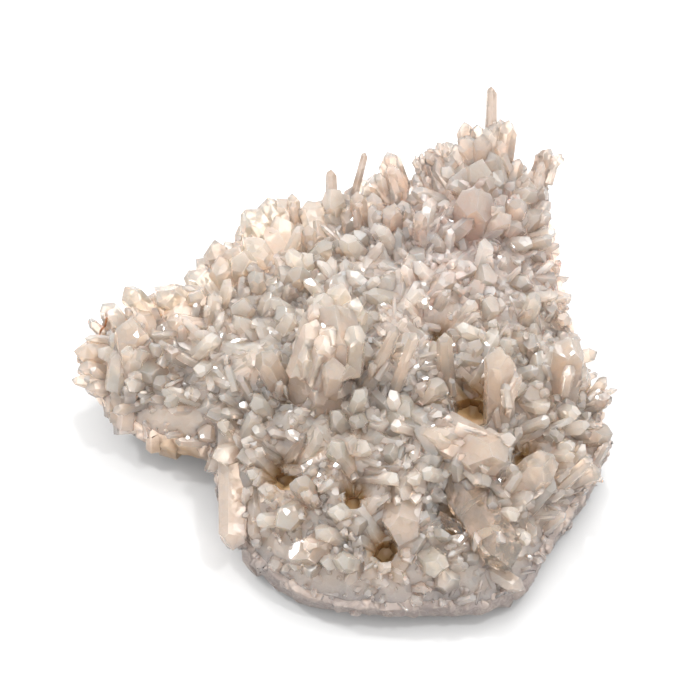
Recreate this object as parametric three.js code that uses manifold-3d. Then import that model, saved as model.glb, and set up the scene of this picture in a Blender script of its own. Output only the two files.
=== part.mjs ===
// A quartz crystal cluster: one irregular plate of massive white quartz, the matrix, with a druse
// of small points over its domed upper side and large single and grown-together points standing
// out of it. It rests on the flat where the plate was broken off its rock.
//
// Millimetres, +Z up, +X to the right, +Y to the back. The origin is at the bottom centre of the
// whole cluster's box.

import * as THREE from "three";
import { ConvexGeometry } from "three/addons/geometries/ConvexGeometry.js";
import { mergeVertices } from "three/addons/utils/BufferGeometryUtils.js";
import Module from "manifold-3d";

const wasm = await Module();
wasm.setup();

// ---- Driving dimensions ---------------------------------------------------------------------

const CREST_HEIGHT = 36; // the matrix at the top of its dome
const CREST = { x: 8, y: -2 }; // where that top is, seen from above
const DOME_POWER = 2.2; // how flat the dome stays before it falls away to the rim
const DOME_RINGS = [0.28, 0.52, 0.73, 0.89]; // rings of corners on the dome, as shares of its radius
const RELIEF = 1.4; // lumps on the matrix's upper side
const CHIPPING = 0.02; // how unevenly the plate broke off, as a share of its radius

const CLEARANCE = 0.35; // left between pieces that grow against each other
const FLATNESS = 0.1; // faces that differ by less than this count as one
const ROOT_DEPTH = 9; // how far a point is carried into the matrix before it is trimmed off
const FACE_SLOPE = THREE.MathUtils.degToRad(51.8); // quartz: a tip face against the base plane
const TAPER = THREE.MathUtils.degToRad(1.2); // each prism face leans in by this much
const SMALLER_FACE = 0.3; // how much smaller every second tip face is, as a share of the width

const DRUSE_CRUST = 2.5; // the crust that the druse's small points share, above the matrix
const DRUSE_TIP = 10; // the druse at the tips of its small points
const DRUSE_WIDTH = 10; // the widest of them
const DRUSE_POINTS = 56;
const DRUSE_SPREAD = 0.88; // how far out their roots are, as a share of the radius
const DRUSE_FAN = 40; // how far the outermost lean out, in degrees
const DRUSE_REACH = 0.96; // where the crust ends
const GOLDEN_ANGLE = Math.PI * (3 - Math.sqrt(5));

// The broken rim of the plate, clockwise seen from below, from the end of the left arm:
// x, y, then the heights of its lower and its upper edge.
const RIM = [
  [-79, 3, 13, 21], [-74, -7, 13, 20], [-66, -15, 12, 19], [-58, -20, 11, 18],
  [-46, -23, 9, 17], [-39, -24, 6, 16], [-38, -32, 4, 14], [-36, -46, 3, 12],
  [-29, -57, 3, 11], [-22, -67, 3, 11], [-12, -75, 3, 11], [0, -79, 3, 11],
  [14, -80, 3, 11], [28, -79, 3, 11], [41, -78, 3, 10], [53, -70, 3, 10],
  [59, -58, 3, 11], [67, -45, 3, 12], [74, -33, 3, 12], [78, -20, 3, 14],
  [76, -7, 4, 18], [71, 5, 4, 20], [68, 17, 4, 23], [65, 36, 5, 25],
  [63, 56, 6, 27], [58, 65, 7, 29], [51, 74, 8, 33], [43, 77, 9, 34],
  [35, 71, 8, 31], [28, 67, 7, 28], [12, 65, 7, 26], [-3, 58, 7, 26],
  [-15, 53, 7, 25], [-27, 47, 7, 25], [-37, 37, 7, 24], [-43, 30, 8, 24],
  [-48, 23, 10, 24], [-60, 23, 12, 24], [-69, 20, 13, 23], [-76, 13, 13, 22],
];

// The large points, in the order in which they grew: where two meet, the later one stops short.
// Each line is one piece. Points in one list have grown together. Of each point: x and y of its
// root, the compass direction in which it leans (0 is +X, 90 is +Y), its lean from upright,
// its length out of the matrix and its width across the flats.
const POINTS = {
  great_point: [[-7, -19, 65, 15, 34, 18]],
  left_pillar: [[-33, -20, 270, 102, 42, 10], [-26, -27, 270, 104, 34, 5]],
  clear_point: [[33, -46, 300, 98, 31, 11]],
  hanging_pillar: [[20, -38, 262, 98, 31, 11]],
  diagonal_block: [[21, -27, 318, 78, 36, 13]],
  broad_point: [[46, -50, 25, 44, 23, 9]],
  cavity_pillar: [[45, -27, 93, 20, 29, 8.5]],
  flank_block: [[63, -14, 70, 20, 25, 10]],
  pink_block: [[36, 40, 47, 15, 22, 11]],
  arm_face_block: [[-63, -6, 95, 25, 22, 9.5]],
  shoulder_stub: [[-36, 29, 110, 32, 16, 8]],
  peak_point: [[44, 69, 88, 36, 27.5, 3.8]],
  peak_cluster: [[47, 66, 74, 30, 21, 6], [40, 67, 112, 38, 18, 5], [42, 62, 96, 24, 19, 6]],
  peak_spur: [[37, 67, 145, 48, 15, 2.5], [36, 64, 158, 52, 17, 4.5]],
  right_horn: [[55, 60, 55, 45, 19, 6.5], [55, 54, 48, 44, 12, 5]],
  crest_fan: [[32, 60, 115, 42, 18, 5], [27, 60, 112, 38, 17, 4]],
  crest_stub: [[19, 57, 118, 42, 20, 6], [17, 54, 143, 46, 16, 4.5]],
  slanted_needle: [[0, 52, 68, 42, 24, 3]],
  upright_spire: [[-4, 47, 92, 36, 22, 4]],
  ridge_stub: [[-15, 43, 94, 36, 18, 4], [-20, 42, 110, 38, 17, 2.6]],
  ridge_spur: [[-29, 40, 132, 36, 10, 3]],
  shoulder_spurs: [[-38, 27, 162, 60, 10, 4], [-40, 23, 176, 62, 8, 3.6]],
  brow_prism: [[5, 42, 98, 30, 18, 5]],
  brow_block: [[13, 38, 78, 20, 17, 7]],
  pale_prism: [[22, 32, 86, 25, 17, 4.2]],
  pink_side: [[48, 42, 50, 26, 17, 6]],
  long_blade: [[3, -25, 48, 36, 31, 4.5]],
  short_blade: [[12, -26, 52, 30, 28, 4]],
  white_wedge: [[19, -25, 0, 36, 17, 6.5]],
  columns: [[30, -16, 98, 20, 20, 4.6], [34.5, -15, 90, 20, 17, 4]],
  splinter: [[57, -9, 112, 37, 17, 2.8]],
  rim_blade: [[58, -45, 26, 52, 20, 4.2]],
  rim_end: [[65, -38, 10, 62, 12, 5]],
  low_spur: [[24, -58, 252, 108, 13, 3.4]],
  side_spur: [[25, -55, 326, 88, 13, 4.2]],
  right_rim: [[72, -10, 42, 48, 10, 3.8], [70, -14, 16, 62, 11, 3.8]],
  right_fan: [[68, -22, 350, 70, 12, 6.5], [67, -29, 340, 74, 10, 5]],
  slope_prism: [[-35, 21, 21, 40, 13, 3.8]],
  slope_block: [[-18, 16, 31, 23, 16, 6.8]],
  ridge_prism: [[-10, 33, 101, 25, 15, 5]],
  middle_prism: [[-17, -18, 153, 25, 21, 7]],
  arm_end: [[-68, 4, 168, 62, 11, 5], [-68, -2, 182, 68, 12, 4.4], [-66, -6, 198, 78, 12, 5]],
  arm_spurs: [[-62, 15, 124, 44, 9, 2.6], [-66, 13, 156, 56, 9, 2.8]],
  arm_low: [[-57, -12, 202, 88, 13, 3.8], [-56, -9, 198, 76, 12, 4.8]],
  arm_needles: [[-38, -8, 175, 54, 19, 2.9], [-39, -13, 174, 54, 15, 2.8]],
  arm_stub: [[-46, -9, 204, 64, 13, 5]],
  low_oval: [[-5, -62, 0, 48, 15, 5.4]],
  low_block: [[-8, -53, 170, 26, 15, 6]],
  front_stub: [[-3, -61, 222, 76, 18, 8]],
  front_right: [[42, -68, 322, 92, 12, 5]],
  front_middle: [[27, -67, 282, 98, 11, 5]],
  front_left: [[3, -66, 262, 98, 11, 4.4]],
  cavity_ring_left: [[-20, -36, 172, 48, 11, 3.2], [-20, -40, 222, 84, 10, 3.2]],
  cavity_ring_right: [[-16, -36, 24, 30, 10, 3.3], [-15, -40, 332, 62, 10, 3.2]],
};

const COLOURS = {
  matrix: { color: 0xc9b6a3, roughness: 0.75 },
  druse: { color: 0xd6c4b2, roughness: 0.4 },
  point: { color: 0xe2d8cf, roughness: 0.12 },
};

// ---- Helpers --------------------------------------------------------------------------------

// Random numbers from 0 to 1, the same ones each time for one seed.
function randomFrom(seed) {
  let state = seed >>> 0;
  return () => {
    state = (Math.imul(state, 1664525) + 1013904223) >>> 0;
    return state / 2 ** 32;
  };
}

const between = (random, low, high) => low + (high - low) * random();

function solidFromGeometry(geometry) {
  geometry.deleteAttribute("normal");
  geometry.deleteAttribute("uv");
  const merged = mergeVertices(geometry, 1e-4);
  return new wasm.Manifold(
    new wasm.Mesh({
      numProp: 3,
      vertProperties: merged.getAttribute("position").array,
      triVerts: new Uint32Array(merged.index.array),
    }),
  );
}

function geometryFromSolid(solid) {
  const mesh = solid.getMesh();
  const positions = new Float32Array(mesh.numVert * 3);
  for (let i = 0; i < mesh.numVert; i++) {
    positions.set(mesh.vertProperties.subarray(i * mesh.numProp, i * mesh.numProp + 3), i * 3);
  }
  const geometry = new THREE.BufferGeometry();
  geometry.setAttribute("position", new THREE.BufferAttribute(positions, 3));
  geometry.setIndex(new THREE.BufferAttribute(mesh.triVerts, 1));
  geometry.computeVertexNormals();
  return geometry;
}

// A cut can leave crumbs beside the piece itself. asOriginal forgets which solids the piece was
// joined from, so that simplify can merge flat faces across the joins.
function largestBody(solid) {
  const bodies = solid.decompose();
  const body = bodies.reduce((best, each) => (each.volume() > best.volume() ? each : best), bodies[0]);
  return body.asOriginal().simplify(FLATNESS);
}

// ---- The plate's surface --------------------------------------------------------------------

const rim = RIM.map(([x, y, under, upper]) => ({
  angle: Math.atan2(y - CREST.y, x - CREST.x),
  radius: Math.hypot(x - CREST.x, y - CREST.y),
  under,
  upper,
})).sort((a, b) => a.angle - b.angle);

// The rim in any direction from the crest, between the two rim points beside it.
function rimAt(angle) {
  const turn = 2 * Math.PI;
  const bearing = Math.atan2(Math.sin(angle), Math.cos(angle)); // between -180 and 180 degrees
  const next = rim.findIndex((point) => point.angle > bearing);
  const after = rim[next < 0 ? 0 : next];
  const before = rim[(next <= 0 ? rim.length : next) - 1];
  const span = (after.angle - before.angle + turn) % turn;
  const t = ((bearing - before.angle + turn) % turn) / span;
  const mix = (key) => THREE.MathUtils.lerp(before[key], after[key], t);
  return { radius: mix("radius"), under: mix("under"), upper: mix("upper") };
}

// Low swells that keep the dome from being smooth.
function relief(x, y) {
  return RELIEF * (Math.sin(x / 7.3 + 1.1) * Math.cos(y / 8.9) + 0.6 * Math.sin((x - y) / 5.1));
}

function matrixHeight(x, y) {
  const { radius, upper } = rimAt(Math.atan2(y - CREST.y, x - CREST.x));
  const share = Math.min(Math.hypot(x - CREST.x, y - CREST.y) / radius, 1);
  const dome = upper + (CREST_HEIGHT - upper) * (1 - share ** DOME_POWER);
  return dome + relief(x, y) * (1 - share);
}

// A closed solid from rings of points round the crest, with a single point above and below.
function ringSolid(top, rings, bottom) {
  const positions = [...top, ...rings.flat(2), ...bottom];
  const count = rings[0].length;
  const last = 1 + rings.length * count;
  const at = (ring, i) => 1 + ring * count + (i % count);
  const faces = [];
  for (let i = 0; i < count; i++) {
    faces.push(0, at(0, i), at(0, i + 1));
    faces.push(last, at(rings.length - 1, i + 1), at(rings.length - 1, i));
    for (let ring = 0; ring + 1 < rings.length; ring++) {
      faces.push(at(ring, i), at(ring + 1, i), at(ring, i + 1));
      faces.push(at(ring, i + 1), at(ring + 1, i), at(ring + 1, i + 1));
    }
  }
  const geometry = new THREE.BufferGeometry();
  geometry.setAttribute("position", new THREE.Float32BufferAttribute(positions, 3));
  geometry.setIndex(faces);
  return solidFromGeometry(geometry);
}

function onRing(angle, radius, height) {
  return [CREST.x + radius * Math.cos(angle), CREST.y + radius * Math.sin(angle), height];
}

// ---- The matrix -----------------------------------------------------------------------------

// grow swells the plate on all sides: the swollen plate trims what grows on the real one.
function matrixSolid(grow) {
  const rings = [];
  for (const share of DOME_RINGS) {
    rings.push(
      rim.map(({ angle, radius }) => {
        const [x, y] = onRing(angle, radius * share, 0);
        return [x, y, matrixHeight(x, y) + grow];
      }),
    );
  }
  const random = randomFrom(3);
  const chipped = (share) => share + between(random, -CHIPPING, CHIPPING);
  rings.push(rim.map((r) => onRing(r.angle, r.radius + grow, r.upper + grow)));
  rings.push(
    rim.map((r) => {
      const height = THREE.MathUtils.lerp(r.under, r.upper, between(random, 0.3, 0.7));
      return onRing(r.angle, r.radius * chipped(0.99) + grow, height);
    }),
  );
  rings.push(rim.map((r) => onRing(r.angle, r.radius * chipped(0.96) + grow, r.under - grow)));
  // The higher the rim stands over the ground, the further in the flat underside starts.
  rings.push(
    rim.map((r) => onRing(r.angle, r.radius * chipped(0.92 - 0.025 * r.under) + grow, -grow)),
  );
  const top = [CREST.x, CREST.y, matrixHeight(CREST.x, CREST.y) + grow];
  return ringSolid(top, rings, [CREST.x, CREST.y, -grow]);
}

// ---- The points -----------------------------------------------------------------------------

// The planes of one quartz point along +Z: six prism faces, six tip faces and the root.
function pointPlanes(random, length, width) {
  const planes = [{ normal: new THREE.Vector3(0, 0, -1), distance: ROOT_DEPTH }];
  const halfWidth = width / 2;
  for (let side = 0; side < 6; side++) {
    const angle = (side * Math.PI) / 3;
    const outward = new THREE.Vector3(Math.cos(angle), Math.sin(angle), 0);
    const prism = outward.clone().multiplyScalar(Math.cos(TAPER)).setZ(Math.sin(TAPER));
    planes.push({ normal: prism, distance: halfWidth * between(random, 0.85, 1.15) });
    const tip = outward.multiplyScalar(Math.sin(FACE_SLOPE)).setZ(Math.cos(FACE_SLOPE));
    const smaller = side % 2 ? width * SMALLER_FACE : 0;
    const shift = (smaller + width * between(random, -0.12, 0.12)) * Math.cos(FACE_SLOPE);
    planes.push({ normal: tip, distance: length * Math.cos(FACE_SLOPE) + shift });
  }
  return planes;
}

// The corners of the solid that lies behind all the planes, each moved out by grow.
function cornersBehind(planes, grow) {
  const corners = [];
  const system = new THREE.Matrix3();
  planes.forEach((a, i) =>
    planes.slice(i + 1).forEach((b, j) =>
      planes.slice(i + j + 2).forEach((c) => {
        system.set(...a.normal.toArray(), ...b.normal.toArray(), ...c.normal.toArray());
        if (Math.abs(system.determinant()) < 1e-6) return;
        const corner = new THREE.Vector3(a.distance + grow, b.distance + grow, c.distance + grow);
        corner.applyMatrix3(system.invert());
        const behind = (plane) => corner.dot(plane.normal) <= plane.distance + grow + 1e-6;
        const known = corners.some((other) => other.distanceTo(corner) < 1e-4);
        if (planes.every(behind) && !known) corners.push(corner);
      }),
    ),
  );
  return corners;
}

function pointSolid([x, y, direction, lean, length, width], seed, grow) {
  const random = randomFrom(seed);
  const spin = between(random, 0, Math.PI / 3);
  const corners = cornersBehind(pointPlanes(random, length, width), grow);
  const place = new THREE.Matrix4()
    .makeTranslation(x, y, matrixHeight(x, y))
    .multiply(new THREE.Matrix4().makeRotationZ(THREE.MathUtils.degToRad(direction)))
    .multiply(new THREE.Matrix4().makeRotationY(THREE.MathUtils.degToRad(lean)))
    .multiply(new THREE.Matrix4().makeRotationZ(spin));
  return solidFromGeometry(new ConvexGeometry(corners).applyMatrix4(place));
}

function bunchSolid(points, seed, grow) {
  return points
    .map((point, i) => pointSolid(point, seed + 101 * i, grow))
    .reduce((joined, point) => joined.add(point));
}

// ---- The druse ------------------------------------------------------------------------------

// A thin crust over the dome, which the small points of the druse share. It reaches down into
// the matrix, so that the cut along the matrix leaves no gap.
function crustSolid() {
  const rings = DOME_RINGS.concat(DRUSE_REACH).map((share) =>
    rim.map(({ angle, radius }) => {
      const [x, y] = onRing(angle, radius * share, 0);
      return [x, y, matrixHeight(x, y) + DRUSE_CRUST * (share < DRUSE_REACH ? 1 : 0.4)];
    }),
  );
  rings.push(rim.map((r) => onRing(r.angle, r.radius * (DRUSE_REACH - 0.04), r.under + 4)));
  const top = [CREST.x, CREST.y, matrixHeight(CREST.x, CREST.y) + DRUSE_CRUST];
  return ringSolid(top, rings, [CREST.x, CREST.y, CREST_HEIGHT / 2]);
}

// The small points stand in a sunflower spiral, which spaces them evenly, and fan out from the
// crest towards the rim.
function druseSolid() {
  const random = randomFrom(7);
  let druse = crustSolid();
  for (let i = 1; i <= DRUSE_POINTS; i++) {
    const share = DRUSE_SPREAD * Math.sqrt(i / DRUSE_POINTS);
    const angle = i * GOLDEN_ANGLE;
    const [x, y] = onRing(angle, rimAt(angle).radius * share * between(random, 0.93, 1), 0);
    const direction = THREE.MathUtils.radToDeg(angle) + between(random, -35, 35);
    const lean = DRUSE_FAN * share + between(random, -15, 15);
    const length = between(random, 0.75, 1) * DRUSE_TIP;
    const width = between(random, 0.7, 1) * DRUSE_WIDTH;
    druse = druse.add(pointSolid([x, y, direction, lean, length, width], 5000 + i, 0));
  }
  return druse;
}

// ---- Putting the cluster together -----------------------------------------------------------

const cluster = new THREE.Group();
cluster.name = "quartz_crystal_cluster";

function addPiece(name, solid, finish) {
  const material = new THREE.MeshStandardMaterial({ ...finish, metalness: 0, flatShading: true });
  const mesh = new THREE.Mesh(geometryFromSolid(solid), material);
  mesh.name = name;
  cluster.add(mesh);
}

addPiece("matrix", matrixSolid(0), COLOURS.matrix);

let grown = matrixSolid(CLEARANCE);
Object.entries(POINTS).forEach(([name, points], i) => {
  const seed = 1000 + 17 * i;
  addPiece(name, largestBody(bunchSolid(points, seed, 0).subtract(grown)), COLOURS.point);
  grown = grown.add(bunchSolid(points, seed, CLEARANCE));
});

addPiece("druse", largestBody(druseSolid().subtract(grown)), COLOURS.druse);

const box = new THREE.Box3().setFromObject(cluster);
const middle = box.getCenter(new THREE.Vector3());
cluster.position.set(-middle.x, -middle.y, -box.min.z);

export default cluster;
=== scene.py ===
# %% [markdown]
# # A quartz crystal cluster
#
# A cluster like this one is a broken plate of massive quartz. On its upper side grew a druse,
# a carpet of small points, and out of the carpet stand large crystals. The large crystals come
# ready made as solids with their true size and place. Here they get their finish, and the
# plate and its druse are modelled around them.

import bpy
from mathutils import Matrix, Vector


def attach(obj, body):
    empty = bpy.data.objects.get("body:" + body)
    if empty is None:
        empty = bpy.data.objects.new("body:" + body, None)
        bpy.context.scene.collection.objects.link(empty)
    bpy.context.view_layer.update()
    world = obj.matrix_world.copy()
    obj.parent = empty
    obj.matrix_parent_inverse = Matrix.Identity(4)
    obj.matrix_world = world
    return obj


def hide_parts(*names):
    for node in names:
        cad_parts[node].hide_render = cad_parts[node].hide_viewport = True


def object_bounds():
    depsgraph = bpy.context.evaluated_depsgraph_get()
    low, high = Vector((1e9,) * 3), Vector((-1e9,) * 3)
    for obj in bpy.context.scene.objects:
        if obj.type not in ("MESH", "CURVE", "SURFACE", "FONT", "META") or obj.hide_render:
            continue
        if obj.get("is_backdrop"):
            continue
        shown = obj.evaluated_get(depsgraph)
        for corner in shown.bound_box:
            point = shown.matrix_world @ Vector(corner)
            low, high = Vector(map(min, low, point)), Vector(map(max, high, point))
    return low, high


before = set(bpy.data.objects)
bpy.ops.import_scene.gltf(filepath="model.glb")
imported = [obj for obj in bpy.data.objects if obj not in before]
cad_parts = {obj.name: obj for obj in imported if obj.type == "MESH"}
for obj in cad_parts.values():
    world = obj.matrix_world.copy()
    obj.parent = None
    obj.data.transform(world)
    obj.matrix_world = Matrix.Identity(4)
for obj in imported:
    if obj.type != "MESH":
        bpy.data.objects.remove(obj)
cad_low, cad_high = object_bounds()
size_mm = [round(1000 * (high - low), 1) for low, high in zip(cad_low, cad_high)]
print("the cluster measures", size_mm, "mm")

# %% [markdown]
# ## Tools
#
# All lengths below are in millimetres, because that is how a mineral dealer would measure the
# piece. A finished mesh is turned into metres once, at the end of its making. Every random
# choice comes from a seeded generator, so the cluster grows the same way each time.

# %% Imports and units
import math
import random

import bmesh
import bpy
import numpy as np
from mathutils import Matrix, Vector, noise
from mathutils.bvhtree import BVHTree

MM = 0.001
UP = Vector((0, 0, 1))

# A noise that gives a direction starts from the clock, unless it is given a seed of its own.
noise.seed_set(3)


def shown(data, name):
    """Puts a mesh, a curve, a camera or a lamp in the scene as an object of that name."""
    thing = bpy.data.objects.new(name, data)
    bpy.context.scene.collection.objects.link(thing)
    return thing


def mesh_from(work, name):
    """Turns a mesh in the making into a mesh."""
    mesh = bpy.data.meshes.new(name)
    work.to_mesh(mesh)
    work.free()
    return mesh


def towards(bearing):
    """The level direction at a bearing, counted from +X."""
    return Vector((math.cos(bearing), math.sin(bearing), 0))


# %% [markdown]
# ## Camera
#
# The specimen is looked down on at fifty degrees, as it would be on a table. A long lens from
# a metre and a half away keeps the crystals' edges nearly parallel.

# %% Place the camera
VIEW_ELEVATION = math.radians(50)
VIEW_DISTANCE = 1458 * MM
AIM = Vector((1.5, 8.2, 20)) * MM

camera = shown(bpy.data.cameras.new("camera"), "camera")
bpy.context.scene.camera = camera
camera.data.lens = 250
camera.data.clip_end = 20
back = Vector((0, -math.cos(VIEW_ELEVATION), math.sin(VIEW_ELEVATION)))
camera.location = AIM + VIEW_DISTANCE * back
camera.rotation_euler = (-back).to_track_quat("-Z", "Y").to_euler()
print("camera at", [round(c, 3) for c in camera.location])

# %% [markdown]
# ## Reading the plate's surface
#
# Everything that grows needs to know where the plate's surface is and which way it faces.
# A ray sent straight down onto the solid gives both. A few deep hollows are pressed into that
# surface: places where the crystals left a hole, which iron has stained brown. Each hollow
# below has its place (x and y), its radius and its depth.

# %% Find the surface and press hollows into it
HOLLOWS = {
    "flower": (-17.7, -41.6, 4.2, 6),
    "great_hole": (37.5, -20.0, 5.5, 7),
    "teardrop": (28.2, 2.5, 2.6, 4),
    "left_hole": (2.6, -52.5, 3.2, 4),
    "low_hole": (11.6, -66.0, 4.0, 5),
    "middle_hole": (31.7, -58.5, 3.4, 5),
    "right_slot": (52.5, -35.0, 3.4, 4),
    "small_hole": (-13.6, -18.0, 2.8, 4),
}


def surface_tree(mesh):
    """A search tree of a mesh's surface, in millimetres."""
    corners = [vertex.co / MM for vertex in mesh.vertices]
    return BVHTree.FromPolygons(corners, [tuple(face.vertices) for face in mesh.polygons])


plate_tree = surface_tree(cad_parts["matrix"].data)


def hollowed(x, y):
    """How far the hollows lower the surface at a place."""
    depth = 0
    for hx, hy, radius, deep in HOLLOWS.values():
        share = math.hypot(x - hx, y - hy) / radius
        depth = max(depth, deep * math.exp(-share * share))
    return depth


def ground(x, y):
    """The plate's surface at a place seen from above: the point and its normal, or None."""
    point, normal, _, _ = plate_tree.ray_cast(Vector((x, y, 200)), -UP)
    if point is None:
        return None
    return point - UP * hollowed(x, y), normal


# %% [markdown]
# The middle of the dome is where the druse is highest. Seen from there, the plate has one edge
# in each direction, so its outline is a distance for each bearing.

# %% The plate's outline, measured from its crest
CREST = Vector((8.1, -4.8))
BEARINGS = 180


def reach(bearing):
    """How far the plate's top goes from the crest in one direction."""
    near, far = 0.0, 130.0
    while far - near > 0.1:
        middle = (near + far) / 2
        x = CREST.x + middle * math.cos(bearing)
        y = CREST.y + middle * math.sin(bearing)
        if ground(x, y):
            near = middle
        else:
            far = middle
    return near


outline = [reach(2 * math.pi * i / BEARINGS) for i in range(BEARINGS)]
print("the plate reaches from", round(min(outline)), "to", round(max(outline)), "mm")


def rim_share(x, y):
    """0 at the crest, 1 on the outline."""
    dx, dy = x - CREST.x, y - CREST.y
    turn = (math.atan2(dy, dx) / (2 * math.pi) % 1) * BEARINGS
    here = int(turn) % BEARINGS
    edge = outline[here] + (turn % 1) * (outline[(here + 1) % BEARINGS] - outline[here])
    return math.hypot(dx, dy) / edge


# %% [markdown]
# ## Cutting one quartz point
#
# A quartz crystal is a six-sided prism with a six-sided tip. Its faces always stand at the
# same angles, but at different distances, which is why no two look alike. So each point is
# sawn from a block, one flat cut for each face, as a lapidary would do it. Modelling it corner
# by corner would lose those angles.

# %% Saw a block along planes
TIP_SLOPE = math.radians(51.8)
SMALLER_TIP_FACE = 0.3  # every second face of a tip stands this much further out
ROOT = 1.6  # how far a point goes on below its foot, in widths


def saw(block, normal, distance):
    """Cuts away what lies beyond a plane and closes the cut with one flat face."""
    everything = block.verts[:] + block.edges[:] + block.faces[:]
    cut = bmesh.ops.bisect_plane(
        block, geom=everything, plane_co=normal * distance, plane_no=normal, clear_outer=True
    )
    edges = [part for part in cut["geom_cut"] if isinstance(part, bmesh.types.BMEdge)]
    if edges:
        bmesh.ops.holes_fill(block, edges=edges)


def quartz_point(chance, length, flat=1.0, broken=False, rounding=0.0):
    """A point one unit wide and some units long above z = 0, with its root below."""
    block = bmesh.new()
    bmesh.ops.create_cube(block, size=30)
    saw(block, -UP, ROOT)
    taper = math.radians(chance.uniform(0.5, 2.5))
    for side in range(6):
        outward = towards(side * math.pi / 3)
        leaning = outward * math.cos(taper) + UP * math.sin(taper)
        saw(block, leaning, 0.5 * chance.uniform(0.78, 1.2))
        tip = outward * math.sin(TIP_SLOPE) + UP * math.cos(TIP_SLOPE)
        smaller = SMALLER_TIP_FACE if side % 2 else 0.0
        saw(block, tip, (length + smaller + chance.uniform(-0.16, 0.16)) * math.cos(TIP_SLOPE))
    if broken:
        across = Vector((chance.uniform(-0.6, 0.6), chance.uniform(-0.6, 0.6), 1)).normalized()
        saw(block, across, length * chance.uniform(0.5, 0.75))
    for vertex in block.verts:
        vertex.co.y *= flat
    if rounding:
        edges = [edge for edge in block.edges if min(v.co.z for v in edge.verts) > 0.01 - ROOT]
        bmesh.ops.bevel(block, geom=edges, offset=rounding, segments=1, affect="EDGES")
    bmesh.ops.recalc_face_normals(block, faces=block.faces[:])
    return block


# %% [markdown]
# The growth lines of quartz run round the prism, square to its length. To find that direction
# later, on a crystal that leans any way it likes, each point carries a map named `growth`:
# across counts the way round, up counts the way along. It also carries its character, one
# random number by which the finish can tell crystals apart.

# %% Turn a sawn block into a reusable mesh
def with_growth_map(block, name, character):
    """Adds the growth map and the character, and makes a mesh of the block."""
    layer = block.loops.layers.uv.new("growth")
    for face in block.faces:
        for loop in face.loops:
            place = loop.vert.co
            loop[layer].uv = (math.atan2(place.y, place.x) / 2, place.z)
    mesh = mesh_from(block, name)
    marks = mesh.attributes.new("character", "FLOAT", "FACE")
    marks.data.foreach_set("value", [character] * len(mesh.polygons))
    return mesh


def shelf_of_points(kind, count, seed, lengths, **shape):
    """Many different points of one kind, to be planted again and again."""
    chance = random.Random(seed)
    shelf = []
    for i in range(count):
        block = quartz_point(chance, chance.uniform(*lengths), **shape)
        height = max(vertex.co.z for vertex in block.verts)
        point = with_growth_map(block, f"{kind}_{i}", chance.random())
        point["length"] = height
        shelf.append(point)
    return shelf


blocks = shelf_of_points("block", 60, 11, (0.8, 1.7), rounding=0.02)
prisms = shelf_of_points("prism", 50, 18, (1.8, 3.4), rounding=0.015)
stout_points = shelf_of_points("stout", 50, 16, (0.8, 1.7))
tall_points = shelf_of_points("tall", 40, 12, (1.8, 3.2))
blades = shelf_of_points("blade", 30, 13, (1.4, 2.8), flat=0.45)
stubs = shelf_of_points("stub", 30, 14, (0.9, 1.8), broken=True)
chunks = shelf_of_points("chunk", 30, 17, (0.5, 0.9), broken=True, rounding=0.09)
print("a block has", len(blocks[0].polygons), "faces, a stout point", len(stout_points[0].polygons))

# %% [markdown]
# ## The broken plate
#
# The plate is massive quartz: no faces of its own, only the rough surface it broke along. A
# coarse solid of it exists, so the fine one starts as that solid, remeshed into even squares
# of under a millimetre. Two things then roughen it: noise moves its corners, and blunt chunks
# are set into its sides, because quartz breaks into lumps as big as the grains it grew in.

# %% Remesh the coarse plate
PLATE_STEP = 0.85
FLAT_BELOW = 1.2


def in_millimetres(node, name, swell=0.0):
    """A copy of a solid, scaled to millimetres and swollen a little."""
    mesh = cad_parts[node].data.copy()
    mesh.name = name
    work = bmesh.new()
    work.from_mesh(mesh)
    bmesh.ops.remove_doubles(work, verts=work.verts[:], dist=1e-6)
    work.normal_update()
    for vertex in work.verts:
        vertex.co = vertex.co / MM + vertex.normal * swell
    work.to_mesh(mesh)
    work.free()
    mesh.materials.clear()
    return mesh


def applied(thing):
    """The mesh of an object with its modifiers worked in. The object itself goes."""
    graph = bpy.context.evaluated_depsgraph_get()
    mesh = bpy.data.meshes.new_from_object(thing.evaluated_get(graph))
    bpy.data.objects.remove(thing)
    return mesh


coarse = shown(in_millimetres("matrix", "coarse_plate"), "coarse_plate")
remesh = coarse.modifiers.new("even squares", "REMESH")
remesh.mode = "VOXEL"
remesh.voxel_size = PLATE_STEP
plate_mesh = applied(coarse)
print("the remeshed plate has", len(plate_mesh.polygons), "faces")

# %% [markdown]
# The break is rough at two sizes. Each grain bulges between its neighbours, which a pattern of
# cells gives, and a fine tooth covers the grains. Both are weaker on level ground, which the
# druse covers anyway.

# %% Press in the hollows and roughen the surface
GRAIN = 3.6
GRAIN_DEPTH = 1.15
TOOTH_DEPTH = 0.22


def roughness_at(place, normal):
    """How far a point of the broken surface moves out: grains, and a fine tooth over them."""
    lump = noise.voronoi(place / GRAIN)[0]
    grain = GRAIN_DEPTH * (lump[1] - lump[0] - 0.35)
    tooth = TOOTH_DEPTH * noise.noise(place * 1.1)
    sideways = 1 - 0.6 * abs(normal.z)
    return (grain + tooth) * sideways


def roughened(place, normal):
    """Where a corner of the plate ends up. The underside stays flat."""
    above = min(max((place.z - 0.2) / FLAT_BELOW, 0), 1)
    moved = place + normal * roughness_at(place, normal) * above
    if normal.z > 0.4:
        moved.z -= hollowed(moved.x, moved.y)
    moved.z = max(moved.z, 0)
    return moved


def roughen(mesh):
    """Moves every corner of the plate. All normals are read before any corner moves."""
    corners = [(vertex.co.copy(), vertex.normal.copy()) for vertex in mesh.vertices]
    moved = [roughened(place, normal) for place, normal in corners]
    mesh.vertices.foreach_set("co", np.array(moved).ravel())
    mesh.update()


roughen(plate_mesh)

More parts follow.
